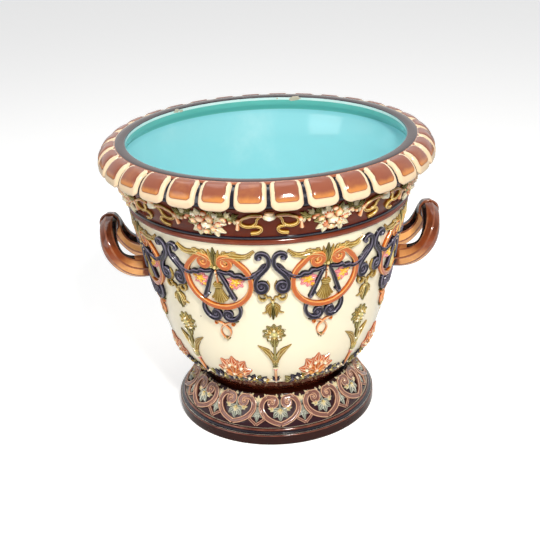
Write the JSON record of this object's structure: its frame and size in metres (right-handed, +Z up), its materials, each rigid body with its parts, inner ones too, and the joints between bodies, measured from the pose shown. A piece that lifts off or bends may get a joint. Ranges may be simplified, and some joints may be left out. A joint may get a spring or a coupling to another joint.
{
  "type": "jardiniere on stand",
  "caption": "Deep round glazed planting pot with loop handles and moulded relief, standing loose in the well of a low round stand.",
  "frame": {"origin": "centre of the stand's base, on the floor", "axes": "+Z up along the axis that the pot and the stand were turned on; X runs through the two handles; -Y is the front"},
  "size_m": [0.4508, 0.4336, 0.385],
  "materials": {
    "aubergine_glaze": "aubergine majolica glaze, glossy",
    "brown_glaze": "mottled brown majolica glaze, glossy",
    "copper_glaze": "pinkish copper-brown majolica glaze, glossy",
    "coral_glaze": "coral-orange majolica glaze, glossy",
    "fruit_glaze": "cream, orange and olive majolica glazes, glossy",
    "gold_glaze": "yellow and olive majolica glazes, glossy",
    "lappet_glaze": "cream and amber-brown majolica glazes, glossy",
    "navy_glaze": "blue-black majolica glaze, glossy",
    "orange_glaze": "orange majolica glaze with ochre ornaments, glossy",
    "turquoise_lined_body": "cream majolica glaze outside, turquoise glaze inside, glossy"
  },
  "bodies": {
    "stand": {"stand": "aubergine_glaze", "stand_heart_01": "copper_glaze", "stand_heart_02": "copper_glaze", "stand_heart_03": "copper_glaze", "stand_heart_04": "copper_glaze", "stand_heart_05": "copper_glaze", "stand_heart_06": "copper_glaze", "stand_heart_07": "copper_glaze", "stand_heart_08": "copper_glaze", "stand_heart_09": "copper_glaze", "stand_heart_10": "copper_glaze", "stand_heart_11": "copper_glaze", "stand_heart_12": "copper_glaze"},
    "jardiniere": {"jardiniere_body": "turquoise_lined_body", "lappet_rim": "lappet_glaze", "handle_right": "brown_glaze", "handle_left": "brown_glaze", "roundel_01": "orange_glaze", "strap_pair_01": "navy_glaze", "garland_01": "fruit_glaze", "flower_spray_01": "gold_glaze", "palmette_01": "coral_glaze", "roundel_02": "orange_glaze", "strap_pair_02": "navy_glaze", "garland_02": "fruit_glaze", "flower_spray_02": "gold_glaze", "palmette_02": "coral_glaze", "roundel_03": "orange_glaze", "strap_pair_03": "navy_glaze", "garland_03": "fruit_glaze", "flower_spray_03": "gold_glaze", "palmette_03": "coral_glaze", "roundel_04": "orange_glaze", "strap_pair_04": "navy_glaze", "garland_04": "fruit_glaze", "flower_spray_04": "gold_glaze", "palmette_04": "coral_glaze", "roundel_05": "orange_glaze", "strap_pair_05": "navy_glaze", "garland_05": "fruit_glaze", "flower_spray_05": "gold_glaze", "palmette_05": "coral_glaze", "roundel_06": "orange_glaze", "strap_pair_06": "navy_glaze", "garland_06": "fruit_glaze", "flower_spray_06": "gold_glaze", "palmette_06": "coral_glaze", "roundel_07": "orange_glaze", "strap_pair_07": "navy_glaze", "garland_07": "fruit_glaze", "flower_spray_07": "gold_glaze", "palmette_07": "coral_glaze", "roundel_08": "orange_glaze", "strap_pair_08": "navy_glaze", "garland_08": "fruit_glaze", "flower_spray_08": "gold_glaze", "palmette_08": "coral_glaze"}
  },
  "joints": [
    {"name": "jardiniere_lift", "type": "slide", "parent": "stand", "child": "jardiniere", "axis": [0, 0, 1], "range_m": [0, 0.12]}
  ]
}
